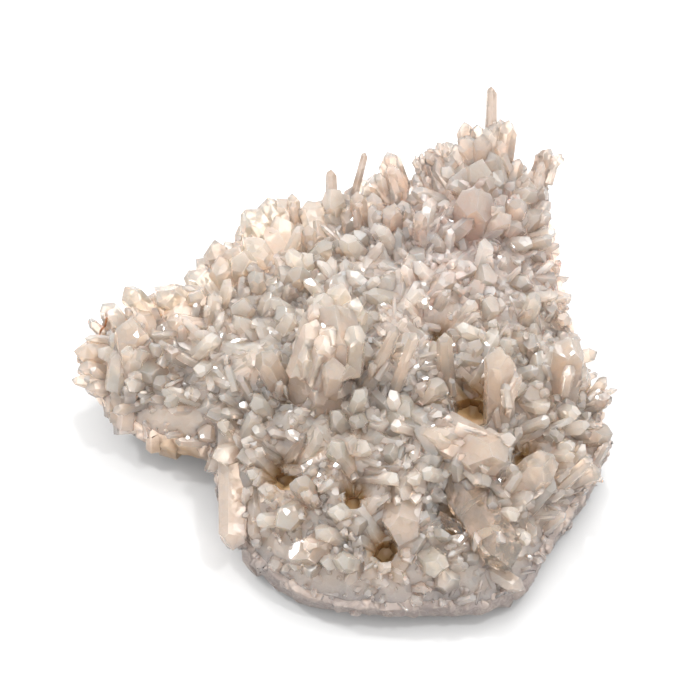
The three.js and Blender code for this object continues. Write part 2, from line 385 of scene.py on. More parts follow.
# %% [markdown]
# ## The crust
#
# The crystals of a druse share a crust: the part of each that grew together with all its
# neighbours. It is some millimetres thick, thins out to the rim and leaves the hollows open.
# Its height decides where the free part of each crystal starts.

# %% How thick the crust is
CRUST = 5.6
CRUST_RELIEF = 1.8
CRUST_REACH = 0.975


def crust_height(x, y):
    """The thickness of the crust at a place."""
    thick = CRUST + CRUST_RELIEF * noise.noise(Vector((x, y, 0)) / 4.5)
    for hx, hy, radius, _ in HOLLOWS.values():
        share = math.hypot(x - hx, y - hy) / (1.5 * radius)
        thick *= 1 - math.exp(-share * share)
    return thick * max(0, 1 - (rim_share(x, y) / CRUST_REACH) ** 10)


def on_crust(x, y):
    """The top of the crust at a place seen from above and the plate's normal there, or None."""
    found = ground(x, y)
    if found is None:
        return None
    point, normal = found
    return point + UP * crust_height(x, y), normal


# %% [markdown]
# ## Planting crystals
#
# A druse grows outwards: in the middle its points stand straight, near the rim they lean out,
# and round a hollow they lean away from the hole like petals. Neighbours that started from
# one seed share a direction, so the lean also swings slowly from patch to patch.

# %% Which way a crystal grows at a place
LEAN_AT_RIM = math.radians(46)
OFF_PLATE, UPRIGHT = 0.4, 0.55
PETAL_LEAN_OUT = 1.1
PATCH = 17
PATCH_LEAN = 0.75
BREAK_BEARING = 28
BREAK_HALF_WIDTH = 26


def petal(x, y):
    """The direction away from a hollow close by, at full length on its rim."""
    pull = Vector((0, 0, 0))
    for hx, hy, radius, _ in HOLLOWS.values():
        away = Vector((x - hx, y - hy, 0))
        far = away.length / radius
        if 0.3 < far < 2.6:
            pull += away.normalized() * math.exp(-((far - 1) ** 2))
    return pull


def beside_break(x, y):
    """1 along the straight right-hand break, where the cluster was snapped off, else 0."""
    bearing = math.degrees(math.atan2(y - CREST.y, x - CREST.x))
    return min(max(1.25 - abs(bearing - BREAK_BEARING) / BREAK_HALF_WIDTH, 0), 1)


def growth_direction(x, y, normal, chance, scatter):
    """The direction of growth: outwards, with the patch, and with its own bit of chance."""
    outward = Vector((x - CREST.x, y - CREST.y, 0))
    if outward.length > 1:
        outward.normalize()
    lean = math.tan(LEAN_AT_RIM * rim_share(x, y) ** 1.6) * (1 - beside_break(x, y))
    patch = noise.noise_vector(Vector((x, y, 40)) / PATCH) * PATCH_LEAN
    own = Vector((chance.gauss(0, scatter), chance.gauss(0, scatter), 0))
    direction = normal * OFF_PLATE + UP * UPRIGHT + outward * lean + patch + own
    direction += petal(x, y) * PETAL_LEAN_OUT
    direction.z = max(direction.z, 0.12)
    return direction.normalized()


# %% [markdown]
# Planting could copy one object again and again with a particle system. Here each crystal is an
# object of its own that shares its mesh with others, since they are all to be united later.
# A tip may overhang the edge a little: least along the front and the straight break, where the
# plate was snapped off after the crystals grew, and most at the high back corner.

# %% Plant one crystal, and scatter many without crowding
FIELD = (82, 86)
TRIES_FOR_EACH = 30
INSIDE = 0.985
PLAIN_FRONT = -45
BACK_CORNER = 58
OVERHANG, PLAIN_OVERHANG, CORNER_OVERHANG = 1.10, 1.03, 1.35


def plant(mesh, foot, direction, width, chance, sink=0.0):
    """A crystal on a foot point, growing along a direction, as wide as it says."""
    crystal = bpy.data.objects.new(mesh.name, mesh)
    turn = direction.to_track_quat("Z", "Y").to_matrix().to_4x4()
    spin = Matrix.Rotation(chance.uniform(0, math.tau), 4, "Z")
    place = Matrix.Translation(foot - direction * sink)
    crystal.matrix_world = place @ turn @ spin @ Matrix.Scale(width, 4)
    return crystal


def scattered_places(seed, spacing, most):
    """Places on the plate seen from above, none nearer to another than the spacing."""
    chance = random.Random(seed)
    taken = {}
    places = []
    tries = 0
    while len(places) < most and tries < most * TRIES_FOR_EACH:
        tries += 1
        x, y = [chance.uniform(-half, half) for half in FIELD]
        cell = (int(x // spacing), int(y // spacing))
        near = [taken.get((cell[0] + i, cell[1] + j)) for i in (-1, 0, 1) for j in (-1, 0, 1)]
        if any(other and math.dist(other, (x, y)) < spacing for other in near):
            continue
        if rim_share(x, y) > INSIDE:
            continue
        taken[cell] = (x, y)
        places.append((x, y))
    return places


def in_hollow(place, margin):
    """True within a hollow or nearer to it than a margin."""
    return any(math.hypot(place.x - x, place.y - y) < radius + margin
               for x, y, radius, _ in HOLLOWS.values())


def too_far_out(tip, half_width):
    """True where a tip would overhang the edge more than the crystals do on that side."""
    side = tip.to_2d() + (tip.to_2d() - CREST).normalized() * half_width
    most = OVERHANG
    if tip.y < PLAIN_FRONT or beside_break(tip.x, tip.y) > 0.3:
        most = PLAIN_OVERHANG
    if tip.y > BACK_CORNER:
        most = CORNER_OVERHANG
    return rim_share(side.x, side.y) > most


# %% [markdown]
# The druse is planted in three passes, as it would be sketched: the blocks that shape it, the
# middle ones that fill it, and the small ones in the gaps. Widths follow a skewed law, so that
# few are large and most are small. All of them are set deep and close, because crystals in a
# druse leave no room between them.

# %% Plant the druse
LONGEST = 13


def planted(seed, spacing, most, widths, shelves, scatter, root):
    """Crystals of one range of widths, all over the plate, with roots some way into the crust."""
    chance = random.Random(seed)
    crystals = []
    for x, y in scattered_places(seed, spacing, most):
        found = on_crust(x, y)
        if found is None:
            continue
        foot, normal = found
        foot = foot - UP * root * crust_height(x, y)
        width = widths[0] + (widths[1] - widths[0]) * chance.random() ** 1.8
        near_rim = max(0, (rim_share(x, y) - 0.8) / 0.2)
        width *= 1 - 0.45 * near_rim
        direction = growth_direction(x, y, normal, chance, scatter)
        mesh = chance.choice(chance.choice(shelves))
        width = min(width, LONGEST / mesh["length"])
        tip = foot + direction * width * mesh["length"]
        in_the_way = in_hollow(foot, 0.4 * width) or in_hollow(tip, 0.3 * width)
        if in_the_way or too_far_out(tip, width / 2):
            continue
        crystals.append(plant(mesh, foot, direction, width, chance))
    print("planted", len(crystals), "crystals up to", widths[1], "mm wide")
    return crystals


small_shelves = (stout_points, tall_points, tall_points, blades, blades, stubs)
block_crystals = planted(21, 5.2, 650, (4.2, 9.0), (prisms, blocks), 0.95, 0.6)
druse_crystals = planted(22, 4.0, 900, (2.8, 5.6), small_shelves, 0.8, 0.35)
druse_crystals += planted(23, 2.9, 1200, (1.7, 3.0), small_shelves, 0.8, 0.1)

# %% [markdown]
# Along the back the druse ends in a ridge. Its points are longer there and lean away over the
# edge, closely packed, so that the ridge has a jagged but unbroken line.

# %% Crowd the ridge along the back
RIDGE_BEARINGS = (46, 168)
RIDGE_LEAN = (15, 62)
RIDGE_RISE = 7
RIDGE_WIDTHS = (4.0, 8.5)


def ridge(seed, count):
    """Long points close together along the back edge."""
    chance = random.Random(seed)
    crystals = []
    for _ in range(count):
        bearing = math.radians(chance.uniform(*RIDGE_BEARINGS))
        outward = towards(bearing)
        edge = outline[round(bearing / math.tau * BEARINGS) % BEARINGS]
        place = CREST + outward.to_2d() * edge * chance.uniform(0.78, 0.97)
        found = ground(place.x, place.y)
        if found is None:
            continue
        lean = math.radians(chance.uniform(*RIDGE_LEAN))
        own = Vector([chance.gauss(0, 0.18) for _ in range(3)])
        direction = (outward * math.sin(lean) + UP * math.cos(lean) + own).normalized()
        width = chance.uniform(*RIDGE_WIDTHS)
        foot = found[0] + UP * chance.uniform(0, RIDGE_RISE)
        crystals.append(plant(chance.choice(blocks), foot, direction, width, chance))
    print("crowded", len(crystals), "points along the ridge")
    return crystals


block_crystals += ridge(27, 140)

# %% [markdown]
# Round each hollow stands a ring of blades that lean away from it, like the petals of a flower.
# The hole in the middle stays open, so light has to find its own way down, and it looks dark.

# %% Plant the petals round the hollows
PETAL_LEAN = (30, 58)


def petals(seed):
    """Blades in a ring round each hollow."""
    chance = random.Random(seed)
    ring = []
    for hx, hy, radius, _ in HOLLOWS.values():
        count = round(5 + radius)
        for i in range(count):
            outward = towards(math.tau * (i + chance.uniform(-0.3, 0.3)) / count)
            place = Vector((hx, hy, 0)) + outward * 0.9 * radius
            foot, _ = ground(place.x, place.y)
            lean = math.radians(chance.uniform(*PETAL_LEAN))
            direction = outward * math.sin(lean) + UP * math.cos(lean)
            width = radius * chance.uniform(0.75, 1.15)
            ring.append(plant(chance.choice(tall_points), foot, direction, width, chance))
    print("planted", len(ring), "petals")
    return ring


druse_crystals += petals(24)

# %% [markdown]
# ## Company for the large points
#
# A big quartz crystal rarely stands alone. Smaller ones started on its sides and grew along
# with it, nearly parallel, so that its foot is lost in steps and ledges. Each large point's own
# corners tell its length, its width and its direction: they spread furthest along its axis.

# %% Measure a large point
def measured(node):
    """The foot of a large point, its direction of growth, its length and its half width."""
    corners = np.array([vertex.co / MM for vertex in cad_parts[node].data.vertices])
    middle = corners.mean(axis=0)
    _, axes = np.linalg.eigh(np.cov((corners - middle).T))
    direction = axes[:, 2]
    if direction @ (middle - np.array(CREST.to_3d())) < 0:
        direction = -direction
    along = (corners - middle) @ direction
    across = np.linalg.norm(corners - middle - np.outer(along, direction), axis=1)
    foot = middle + direction * along.min()
    return Vector(foot), Vector(direction), along.max() - along.min(), np.median(across)


# %% [markdown]
# How far up the company reaches differs. Most large points are covered over two thirds of their
# length, those on the back ridge further, and some stand bare and keep company only at the
# foot. A few are sheathed: so many crystals grew on them that they look like a sheaf.

# %% Plant the company
large_points = [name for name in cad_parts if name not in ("matrix", "druse")]
BARE = (
    "left_pillar", "clear_point", "peak_point", "slanted_needle", "splinter", "low_spur",
    "side_spur", "arm_needles", "upright_spire", "cavity_ring_left", "cavity_ring_right",
)
SHEATHED = ("peak_cluster", "peak_spur", "crest_fan", "right_horn", "great_point", "diagonal_block")
BACK_RIDGE = 30
COVERED, COVERED_WHEN_BARE, COVERED_BEHIND, COVERED_BY_SHEATH = 0.66, 0.12, 0.9, 0.95
CROWD = 0.18
FEWEST, MOST, SHEATH = 9, 30, 48
COMPANY_WIDTHS = (2.2, 6.5)


def company(node, chance):
    """Crystals that grew on the sides of a large point, along with it."""
    foot, direction, length, half_width = measured(node)
    covered = COVERED_BEHIND if foot.y > BACK_RIDGE else COVERED
    if node in BARE:
        covered = COVERED_WHEN_BARE
    count = round(min(max(CROWD * length * half_width, FEWEST), MOST) * covered / COVERED)
    if node in SHEATHED:
        count, covered = SHEATH, COVERED_BY_SHEATH
    crystals = []
    for _ in range(count):
        turn = Matrix.Rotation(chance.uniform(0, math.tau), 3, direction)
        outward = turn @ direction.orthogonal().normalized()
        height = length * chance.uniform(-0.05, covered)
        width = half_width * chance.uniform(0.45, 1.1)
        width = min(max(width, COMPANY_WIDTHS[0]), COMPANY_WIDTHS[1])
        start = foot + direction * height + outward * half_width * chance.uniform(0.65, 1.1)
        own = Vector([chance.gauss(0, 0.16) for _ in range(3)])
        growing = (direction + outward * chance.uniform(0, 0.55) + own).normalized()
        mesh = chance.choice(blocks)
        crystal = plant(mesh, start, growing, width, chance, 0.1 * width)
        tip = start + growing * width * mesh["length"]
        hidden = in_hollow(tip, 0.2 * width) or too_far_out(tip, width / 2)
        if (tip - foot).dot(direction) < length and min(tip.z, start.z) > 3 and not hidden:
            crystals.append(crystal)
        else:
            bpy.data.objects.remove(crystal)
    return crystals


chance = random.Random(25)
for name in large_points:
    block_crystals += company(name, chance)
print("blocks and company:", len(block_crystals), "crystals")

# %% [markdown]
# Now the crust itself: a closed shell in rings round the crest. Its top has the height above,
# and its underside is hidden in the plate.

# %% Make the crust
CRUST_RINGS = 40


def crust_mesh():
    """A thin closed shell over the dome, as rings of corners round the crest."""
    top, bottom = [], []
    for ring in range(CRUST_RINGS + 1):
        share = CRUST_REACH * ring / CRUST_RINGS
        for i in range(BEARINGS if ring else 1):
            bearing = math.tau * i / BEARINGS
            away = outline[i] * share
            x = CREST.x + away * math.cos(bearing)
            y = CREST.y + away * math.sin(bearing)
            top.append(on_crust(x, y)[0] + UP * 0.05)
            bottom.append(ground(x, y)[0] - UP * 1.2)
    faces = []
    last = len(top)
    for i in range(BEARINGS):
        j = (i + 1) % BEARINGS
        faces.append((0, 1 + i, 1 + j))
        faces.append((last, last + 1 + j, last + 1 + i))
        for ring in range(1, CRUST_RINGS):
            a, b = 1 + (ring - 1) * BEARINGS, 1 + ring * BEARINGS
            faces.append((a + i, b + i, b + j, a + j))
            faces.append((last + a + j, last + b + j, last + b + i, last + a + i))
        outer = 1 + (CRUST_RINGS - 1) * BEARINGS
        faces.append((outer + i, last + outer + i, last + outer + j, outer + j))
    mesh = bpy.data.meshes.new("crust")
    mesh.from_pydata([*top, *bottom], [], faces)
    return mesh


# %% [markdown]
# ## Growing together
#
# Crystals that overlap are one body in nature. A boolean union makes them one here: it drops
# every hidden wall inside, so light that enters the quartz meets nothing that isn't there.
# Uniting thousands one after the other would take minutes, because the body that each one is
# added to keeps growing. So neighbours are united in small groups first, then the groups, and
# so on up, like the rounds of a tournament.

# %% Unite crystals in rounds
GROUP = 14
WEDGES = 24


def combined(thing, operation, others):
    """The mesh of one object after a boolean with some others. All the objects go."""
    helpers = bpy.data.collections.new("helpers")
    bpy.context.scene.collection.children.link(helpers)
    for other in others:
        helpers.objects.link(other)
    change = thing.modifiers.new("combine", "BOOLEAN")
    change.operation, change.operand_type = operation, "COLLECTION"
    change.collection, change.solver = helpers, "MANIFOLD"
    mesh = applied(thing)
    for other in others:
        bpy.data.objects.remove(other)
    bpy.data.collections.remove(helpers)
    return mesh


def standing(crystal):
    """A crystal whose place is in its mesh instead of its object."""
    mesh = crystal.data.copy()
    mesh.transform(crystal.matrix_world)
    bpy.data.objects.remove(crystal)
    return shown(mesh, mesh.name)


def grown_together(crystals):
    """One object made of all the crystals, which lie in order round the crest."""
    while len(crystals) > 1:
        groups = [crystals[i : i + GROUP] for i in range(0, len(crystals), GROUP)]
        bodies = []
        for first, *rest in groups:
            body = standing(first)
            mesh = combined(body, "UNION", rest) if rest else applied(body)
            bodies.append(bpy.data.objects.new("grown", mesh))
        crystals = bodies
    return standing(crystals[0])


def bearing_of(crystal):
    """Sorts crystals into wedges seen from the crest, and each wedge from the inside out."""
    place = crystal.matrix_world.translation
    away = place.to_2d() - CREST
    wedge = int((math.atan2(away.y, away.x) + math.pi) / math.tau * WEDGES)
    return wedge, away.length


# %% [markdown]
# Two bodies that touch must not share a surface, or light wouldn't know which of them it is in.
# So each body makes room for those before it: their meshes, swollen by a hair's breadth, are
# taken away from it. A slab takes away what would reach below the flat that the cluster rests
# on.

# %% Leave room for the neighbours
GAP = 0.04
BELOW = 0.35
SLAB = 400


def large_points_swollen(swell):
    """All large points as one mesh in millimetres, each a little swollen."""
    work = bmesh.new()
    for name in large_points:
        work.from_mesh(in_millimetres(name, "room", swell))
    return mesh_from(work, "room")


def swollen(mesh, swell):
    """A copy of a mesh, swollen a little, as room for it in a neighbour."""
    copy = mesh.copy()
    corners = [vertex.co + vertex.normal * swell for vertex in mesh.vertices]
    copy.vertices.foreach_set("co", np.array(corners).ravel())
    return copy


def slab_below(height):
    """A slab that takes away whatever would reach below the flat the cluster rests on."""
    work = bmesh.new()
    bmesh.ops.create_cube(work, size=SLAB)
    bmesh.ops.translate(work, verts=work.verts, vec=(0, 0, height - SLAB / 2))
    return mesh_from(work, "slab")


def cut_by(mesh, *cutters):
    """A mesh less the space of some others."""
    body = shown(mesh, "body")
    return combined(body, "DIFFERENCE", [bpy.data.objects.new("cutter", c) for c in cutters])


# %% [markdown]
# Crystals that stand further off still lean over the hollows and would close them. So a ragged
# funnel, wider towards its mouth, is taken away over each hollow. It opens upwards and to the
# front.

# %% Keep the hollows open
OPENS_TO = Vector((0, -0.5, 0.85)).normalized()
OPENING_SIDES = 7
OPENING_RINGS = ((-1, 0.4), (4, 0.75), (26, 1.9))  # height, and width as a share of the hollow's


def openings():
    """A ragged funnel over each hollow."""
    work = bmesh.new()
    chance = random.Random(29)
    across = OPENS_TO.orthogonal().normalized()
    for x, y, radius, _ in HOLLOWS.values():
        foot = ground(x, y)[0]
        rings = []
        for height, share in OPENING_RINGS:
            ring = []
            for i in range(OPENING_SIDES):
                side = Matrix.Rotation(math.tau * i / OPENING_SIDES, 3, OPENS_TO) @ across
                away = radius * share * chance.uniform(0.75, 1.2)
                ring.append(work.verts.new(foot + side * away + OPENS_TO * height))
            rings.append(ring)
        for lower, upper in zip(rings, rings[1:]):
            for i in range(OPENING_SIDES):
                j = (i + 1) % OPENING_SIDES
                work.faces.new((lower[i], lower[j], upper[j], upper[i]))
        work.faces.new(rings[0][::-1])
        work.faces.new(rings[-1])
    return mesh_from(work, "openings")


# %% [markdown]
# Everything is ready to be united: first the blocks and the company, then the druse with its
# crust, which makes room for the large points and for the blocks.

# %% Unite the blocks and the druse
block_crystals.sort(key=bearing_of)
blocks_mesh = applied(grown_together(block_crystals))
room = large_points_swollen(GAP)
blocks_mesh = cut_by(blocks_mesh, room, openings(), slab_below(BELOW))
print("the blocks have", len(blocks_mesh.polygons), "faces")

druse_crystals.sort(key=bearing_of)
crust = bpy.data.objects.new("crust", crust_mesh())
druse_mesh = combined(grown_together(druse_crystals), "UNION", [crust])
druse_mesh = cut_by(druse_mesh, room, swollen(blocks_mesh, GAP), openings(), slab_below(BELOW))
print("the druse has", len(druse_mesh.polygons), "faces")

# %% [markdown]
# ## Chunks in the broken sides
#
# The sides of the plate broke along its grains: blunt chunks some millimetres wide, rounded at
# their edges. Rays sent in from outside find the sides, and each chunk is set where one lands.
# Low down the chunks are smaller, so that none hangs below the flat. Then the plate is smooth
# but for the edges where two sides meet sharply.

# %% Set the chunks
CHUNKS = 1100
CHUNK_WIDTHS = (2.6, 6.5)
LOWEST_CHUNK = 2.8
CHUNK_NORMALS = (-0.25, 0.85)  # upward part of the normal: neither under the rim nor on top
PROUD = (0.0, 1.2)
SHARPER_THAN = math.radians(34)


def side_chunks(seed):
    """Chunks that stand a little proud of the plate's sides."""
    chance = random.Random(seed)
    found = []
    for i in range(CHUNKS):
        bearing = math.tau * (i + chance.random()) / CHUNKS
        inward = Vector((-math.cos(bearing), -math.sin(bearing), 0))
        start = CREST.to_3d() - inward * 140 + UP * chance.uniform(1.5, 32)
        point, normal, _, _ = plate_tree.ray_cast(start, inward)
        if point is None or point.z < LOWEST_CHUNK:
            continue
        if not CHUNK_NORMALS[0] <= normal.z <= CHUNK_NORMALS[1]:
            continue
        own = Vector([chance.gauss(0, 0.22) for _ in range(3)])
        direction = (normal + UP * 0.2 + own).normalized()
        width = CHUNK_WIDTHS[0] + (CHUNK_WIDTHS[1] - CHUNK_WIDTHS[0]) * chance.random() ** 1.6
        width = min(width, CHUNK_WIDTHS[0] + 0.25 * point.z)
        chunk = chance.choice(chunks)
        sink = width * chunk["length"] - chance.uniform(*PROUD)
        found.append(plant(chunk, point, direction, width, chance, sink))
    print("set", len(found), "chunks into the sides")
    return found


chunk_body = grown_together(sorted(side_chunks(26), key=bearing_of))
plate_mesh = combined(shown(plate_mesh, "plate_body"), "UNION", [chunk_body])
plate_mesh = cut_by(plate_mesh, slab_below(0.0))
plate_mesh.shade_smooth()
plate_mesh.set_sharp_from_angle(angle=SHARPER_THAN)
print("the plate has", len(plate_mesh.polygons), "faces")

# %% [markdown]
# The three bodies are turned into metres and become pieces of the model. The druse and the
# plate take the place of their coarse solids. The blocks and the company are an addition.

# %% Finish the bodies as pieces
def finished(mesh, name):
    """Turns a mesh made in millimetres into a piece in metres."""
    mesh.transform(Matrix.Scale(MM, 4))
    mesh.name = name
    return shown(mesh, name)


druse = finished(druse_mesh, "druse_crystals")
company_blocks = finished(blocks_mesh, "company_crystals")
plate = finished(plate_mesh, "broken_plate")
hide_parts("druse")
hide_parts("matrix")
for piece in (druse, company_blocks, plate):
    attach(piece, "root")

# %% [markdown]
# ## Veils sealed in the large points
#
# A large point often grew round a crack that healed. The crack stays inside it as a thin wavy
# sheet of tiny bubbles, called a veil. Here a veil is a ball pressed flat and bent, which keeps
# it closed all round, and it is small enough to stay inside its crystal.

# %% Make the veils
VEIL_THICKNESS = 0.09
VEIL_PLACES = (0.45, 0.68)  # as shares of the point's length
VEILED = ("clear_point", "great_point", "left_pillar", "hanging_pillar", "broad_point", "white_wedge")


def veil(work, middle, facing, radius, chance):
    """Adds one bent sheet to a mesh in the making."""
    turn = facing.to_track_quat("Z", "Y").to_matrix()
    phase = chance.uniform(0, 50)
    for vertex in bmesh.ops.create_icosphere(work, subdivisions=4, radius=1)["verts"]:
        x, y, z = vertex.co
        ragged = radius * (1 + 0.25 * noise.noise(Vector((x, y, phase)) * 2))
        wave = 0.3 * radius * noise.noise(Vector((x, y, phase + 9)) * 1.3)
        vertex.co = middle + turn @ Vector((x * ragged, y * ragged, z * VEIL_THICKNESS + wave))


def veils(seed):
    """Two veils in each of the points that show them."""
    chance = random.Random(seed)
    work = bmesh.new()
    for node in VEILED:
        foot, direction, length, half_width = measured(node)
        for share in VEIL_PLACES:
            middle = foot + direction * length * share
            tilt = Vector([chance.gauss(0, 0.7) for _ in range(3)])
            veil(work, middle, (direction + tilt).normalized(), 0.5 * half_width, chance)
    return mesh_from(work, "veils")


sealed_veils = finished(veils(28), "sealed_veils")
sealed_veils.data.shade_smooth()
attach(sealed_veils, "root")

# %% [markdown]
# ## A thread of rust
#
# At the end of the left arm iron has seeped out of a crack and dried as a hooked orange thread.
# It lies on the crystals like a bead of paint, so it is a tube of uneven thickness, drawn over
# whatever surface lies under its path. Its height is smoothed, so that it bridges the gaps
# between crystals instead of falling into them.

# %% Draw the thread of rust
THREAD_PATH = ((-73.1, 6.6), (-73.5, 7.6), (-72.6, 8.6), (-71.4, 10.0), (-70.9, 11.8), (-71.1, 13.6))
THREAD_THICKNESS = 0.34
THREAD_RISE = 2.5  # how far it climbs or sinks from its middle height
BEADS = 40
HOOK_BEADS = 8  # the hook at its start is thicker


def top_of(trees, x, y):
    """The highest surface at a place seen from above."""
    hits = [tree.ray_cast(Vector((x, y, 200)), -UP)[0] for tree in trees]
    return max((hit.z for hit in hits if hit is not None), default=0.0)


def rust_curve():
    """The path of the thread as a curve with a thickness that swells and narrows."""
    things = [druse, company_blocks, plate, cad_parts["arm_end"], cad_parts["arm_spurs"]]
    trees = [surface_tree(thing.data) for thing in things]
    steps = np.linspace(0, len(THREAD_PATH) - 1, BEADS)
    xs = np.interp(steps, range(len(THREAD_PATH)), [x for x, _ in THREAD_PATH])
    ys = np.interp(steps, range(len(THREAD_PATH)), [y for _, y in THREAD_PATH])
    heights = np.array([top_of(trees, x, y) for x, y in zip(xs, ys)])
    middle = np.median(heights)
    heights = np.clip(heights, middle - THREAD_RISE, middle + THREAD_RISE)
    padded = np.pad(heights, 3, mode="edge")
    heights = np.array([padded[i : i + 7].max() for i in range(BEADS)])
    heights = np.convolve(np.pad(heights, 2, mode="edge"), np.ones(5) / 5, mode="valid")
    curve = bpy.data.curves.new("rust", "CURVE")
    curve.dimensions, curve.use_fill_caps = "3D", True
    curve.bevel_depth, curve.bevel_resolution = THREAD_THICKNESS, 2
    line = curve.splines.new("POLY")
    line.points.add(BEADS - 1)
    for i, (x, y, z) in enumerate(zip(xs, ys, heights)):
        line.points[i].co = (x, y, z + 0.2, 1)
        uneven = 0.9 + 0.6 * noise.noise(Vector((x, y, z)) * 1.3)
        line.points[i].radius = uneven + (0.7 if i < HOOK_BEADS else 0)
    return curve


rust_thread = finished(applied(shown(rust_curve(), "rust_curve")), "rust_thread")
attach(rust_thread, "root")
print("the thread of rust has", len(rust_thread.data.polygons), "faces")

# %% [markdown]
# ## Marks for the finish
#
# Two things about a place on the druse decide its colour, and a shader can't find them by
# itself: which crystal it is on, and how deep it lies. The crystal's character came along with
# its mesh. The depth is measured here: 1 where a corner touches the plate, 0 some way above.
# The finish turns deep places ochre: partly iron stain, partly painted shade between the crystals.

# %% Mark how deep each corner lies
DEEP = 5.0


def mark_depth(piece):
    """Stores on each corner how close it is to the plate."""
    values = []
    for vertex in piece.data.vertices:
        distance = plate_tree.find_nearest(vertex.co / MM)[3]
        values.append(max(0.0, 1 - distance / DEEP))
    marks = piece.data.attributes.new("deep", "FLOAT", "POINT")
    marks.data.foreach_set("value", values)


for piece in (druse, company_blocks):
    mark_depth(piece)

# %% [markdown]
# The large points are finished solids, so nothing is stored in their meshes. Each gets its
# direction of growth as a property of the object, which a shader can read just as well. A fine
# bevel breaks their edges, as no real edge is perfectly sharp.

# %% Prepare the large points
EDGE = 0.22

for name in large_points:
    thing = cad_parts[name]
    thing["growth_axis"] = list(measured(name)[1])
    bevel = thing.modifiers.new("broken edge", "BEVEL")
    bevel.width = EDGE * MM
    bevel.segments = 1
    bevel.limit_method = "ANGLE"

# %% [markdown]
# ## Tools for the finishes
#
# Building a shader in code is mostly adding nodes and joining them. One helper adds a node and
# fills its inputs, with a value or a link. The others are the few steps that the finishes need
# again and again: arithmetic, a mask that falls off and a mix of two colours.

# %% Shader tools
def add(tree, kind, inputs=None, **settings):
    """A shader node with its settings, and the values or links of its inputs."""
    node = tree.nodes.new("ShaderNode" + kind)
    for key, value in settings.items():
        setattr(node, key, value)
    for key, value in (inputs or {}).items():
        if isinstance(value, bpy.types.NodeSocket):
            tree.links.new(value, node.inputs[key])
        else:
            node.inputs[key].default_value = value
    return node


def calc(tree, operation, *values, clamp=False):
    """One step of arithmetic on values or links."""
    return add(tree, "Math", dict(enumerate(values)), operation=operation, use_clamp=clamp).outputs[0]


def falling(tree, value, near, far):
    """1 while a value is under near, 0 once it is over far, smooth between them."""
    inputs = {"Value": value, "From Min": near, "From Max": far, "To Min": 1.0, "To Max": 0.0}
    return add(tree, "MapRange", inputs, interpolation_type="SMOOTHSTEP").outputs[0]


def mixed(tree, share, first, second):
    """A colour between two colours."""
    node = add(tree, "Mix", {0: share}, data_type="RGBA")
    for socket, value in ((node.inputs[6], first), (node.inputs[7], second)):
        if isinstance(value, bpy.types.NodeSocket):
            tree.links.new(value, socket)
        else:
            socket.default_value = (*value, 1)
    return node.outputs[2]


# %% [markdown]
# An effect that more than one finish uses is built once, as a group with named inputs and
# outputs, and each finish takes it from there. Most effects start from a distance or a noise.

# %% Tools for groups
def shader_group(name, inputs, outputs):
    """An empty shader group with named inputs and outputs."""
    group = bpy.data.node_groups.new(name, "ShaderNodeTree")
    for title, kind, value in inputs:
        group.interface.new_socket(title, in_out="INPUT", socket_type=kind).default_value = value
    for title, kind in outputs:
        group.interface.new_socket(title, in_out="OUTPUT", socket_type=kind)
    return group, group.nodes.new("NodeGroupInput").outputs, group.nodes.new("NodeGroupOutput").inputs


def vector_step(tree, operation, first, second):
    """One step of arithmetic on two vectors, or on links of them."""
    return add(tree, "VectorMath", {0: first, 1: second}, operation=operation).outputs


def distance_from(tree, place, spot_mm):
    """How far a place is from a fixed spot, in metres."""
    return vector_step(tree, "DISTANCE", place, Vector(spot_mm) * MM)["Value"]


def noise_at(tree, place, size_mm, detail=3.0):
    """Noise from 0 to 1 over the surface, with lumps of about that size."""
    inputs = {"Vector": place, "Scale": 1 / (size_mm * MM), "Detail": detail}
    return add(tree, "TexNoise", inputs).outputs[0]


# %% [markdown]
# ## The body colour of the quartz
#
# The quartz is beige where it is thick, blushes pink round the high back corner, and turns a
# cool lilac grey low down on the rim. The lilac is partly the quartz's own cool tint and partly
# painted shade: it is darker than the beige, as the low rim faces away from the light. The
# borders between these zones are soft and uneven, so noise bends them. A group holds the zones,
# because every quartz finish uses them.

# %% Group: zones of colour
BLUSH = (34, 38, 40)
BLUSH_REACH = (8, 46)
RIM_HEIGHTS = (9, 19)


def zones_group():
    """Takes three colours and puts out the one of the place."""
    colour = "NodeSocketColor"
    inputs = [(title, colour, (1, 1, 1, 1)) for title in ("Beige", "Pink", "Shaded Lilac")]
    group, given, result = shader_group("zones of colour", inputs, [("Color", colour)])
    place = add(group, "TexCoord").outputs["Object"]
    bend = calc(group, "MULTIPLY_ADD", noise_at(group, place, 9), 24 * MM, -12 * MM)
    away = calc(group, "ADD", distance_from(group, place, BLUSH), bend)
    near = falling(group, away, BLUSH_REACH[0] * MM, BLUSH_REACH[1] * MM)
    height = add(group, "SeparateXYZ", {0: place}).outputs["Z"]
    height = calc(group, "MULTIPLY_ADD", bend, 0.3, height)
    # Low down the colour turns to the lilac: partly its own tint, partly painted shade.
    low = falling(group, height, RIM_HEIGHTS[0] * MM, RIM_HEIGHTS[1] * MM)
    warm = mixed(group, near, given["Beige"], given["Pink"])
    group.links.new(mixed(group, low, warm, given["Shaded Lilac"]), result["Color"])
    return group


zones = zones_group()

# %% [markdown]
# ## Iron stain
#
# Iron has left ochre round the hollows and one bright rusty spot at the end of the left arm.
# The ochre under the left arm and in the depths between the crystals is partly iron stain and
# partly painted shade, where little light gets in. The group gives two masks: Ochre, from the
# distance to each hollow, to the underside of the arm and from the depth mark, and Rust.

# %% Group: iron stain
ARM_UNDERSIDE_STAIN_AND_SHADE = (-50, -25, 11)
RUST_SPOT = (-73, 10.4, 23)


